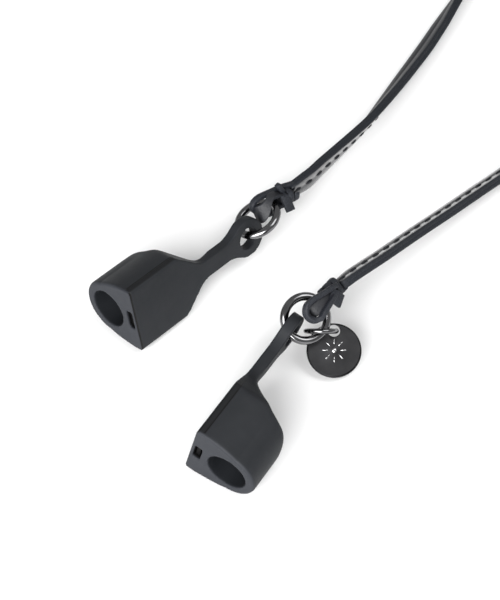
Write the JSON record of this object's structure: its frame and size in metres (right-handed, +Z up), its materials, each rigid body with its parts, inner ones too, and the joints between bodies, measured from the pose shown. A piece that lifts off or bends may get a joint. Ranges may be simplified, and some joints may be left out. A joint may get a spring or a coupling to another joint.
{
  "type": "earbud neck strap",
  "caption": "Leather neck strap with a silicone stem holder at each end for a pair of wireless earbuds, hung on metal rings, with a round metal charm.",
  "frame": {"origin": "on the table, under the middle of the box round the holders, rings, charm and tied strap ends", "axes": "+Z up, +Y from the holders' mouths towards the strap, +X to the right seen from the mouths"},
  "size_m": [0.0425, 0.1573, 0.0125],
  "materials": {
    "silicone": "matt dark slate grey",
    "gunmetal": "polished black nickel",
    "magnet": "dark plated",
    "leather": "smooth dark navy leather, sewn in two layers"
  },
  "bodies": {
    "strap": {"left_strap_loop": "leather", "right_strap_loop": "leather", "left_tie_lace": "leather", "right_tie_lace": "leather", "strap_run_left": "leather", "strap_run_right": "leather", "strap_coil": "leather"},
    "left_ring": {"left_ring": "gunmetal"},
    "left_holder": {"left_holder": "silicone", "left_magnet": "magnet"},
    "right_ring": {"right_ring": "gunmetal"},
    "right_holder": {"right_holder": "silicone", "right_magnet": "magnet"},
    "charm_jump_ring": {"charm_jump_ring": "gunmetal"},
    "charm_disc": {"charm_disc": "gunmetal"}
  },
  "joints": [
    {"name": "left_ring_swing", "type": "hinge", "parent": "strap", "child": "left_ring", "pos_m": [-0.00925, 0.01936, 0.00644], "axis": [-0.9279, 0.1326, -0.3485], "range_deg": [-40, 70]},
    {"name": "left_holder_swing", "type": "hinge", "parent": "left_ring", "child": "left_holder", "pos_m": [-0.00884, 0.01283, 0.005], "axis": [0.9386, -0.0005, 0.3451], "range_deg": [-40, 40]},
    {"name": "right_ring_swing", "type": "hinge", "parent": "strap", "child": "right_ring", "pos_m": [0.01039, 0.00674, 0.00809], "axis": [-0.8062, 0, 0.5916], "range_deg": [-70, 70]},
    {"name": "right_holder_swing", "type": "hinge", "parent": "right_ring", "child": "right_holder", "pos_m": [0.00886, 0.00046, 0.00633], "axis": [0.7929, -0.0544, -0.6069], "range_deg": [-50, 18]},
    {"name": "charm_ring_swing", "type": "hinge", "parent": "right_ring", "child": "charm_jump_ring", "pos_m": [0.01249, 0.00437, 0.00546], "axis": [0.0013, 0.9087, 0.4173], "range_deg": [-60, 5]},
    {"name": "charm_swing", "type": "hinge", "parent": "charm_jump_ring", "child": "charm_disc", "pos_m": [0.01303, 0.00644, 0.00386], "axis": [-0.7294, 0.1262, -0.6723], "range_deg": [-25, 8]}
  ]
}
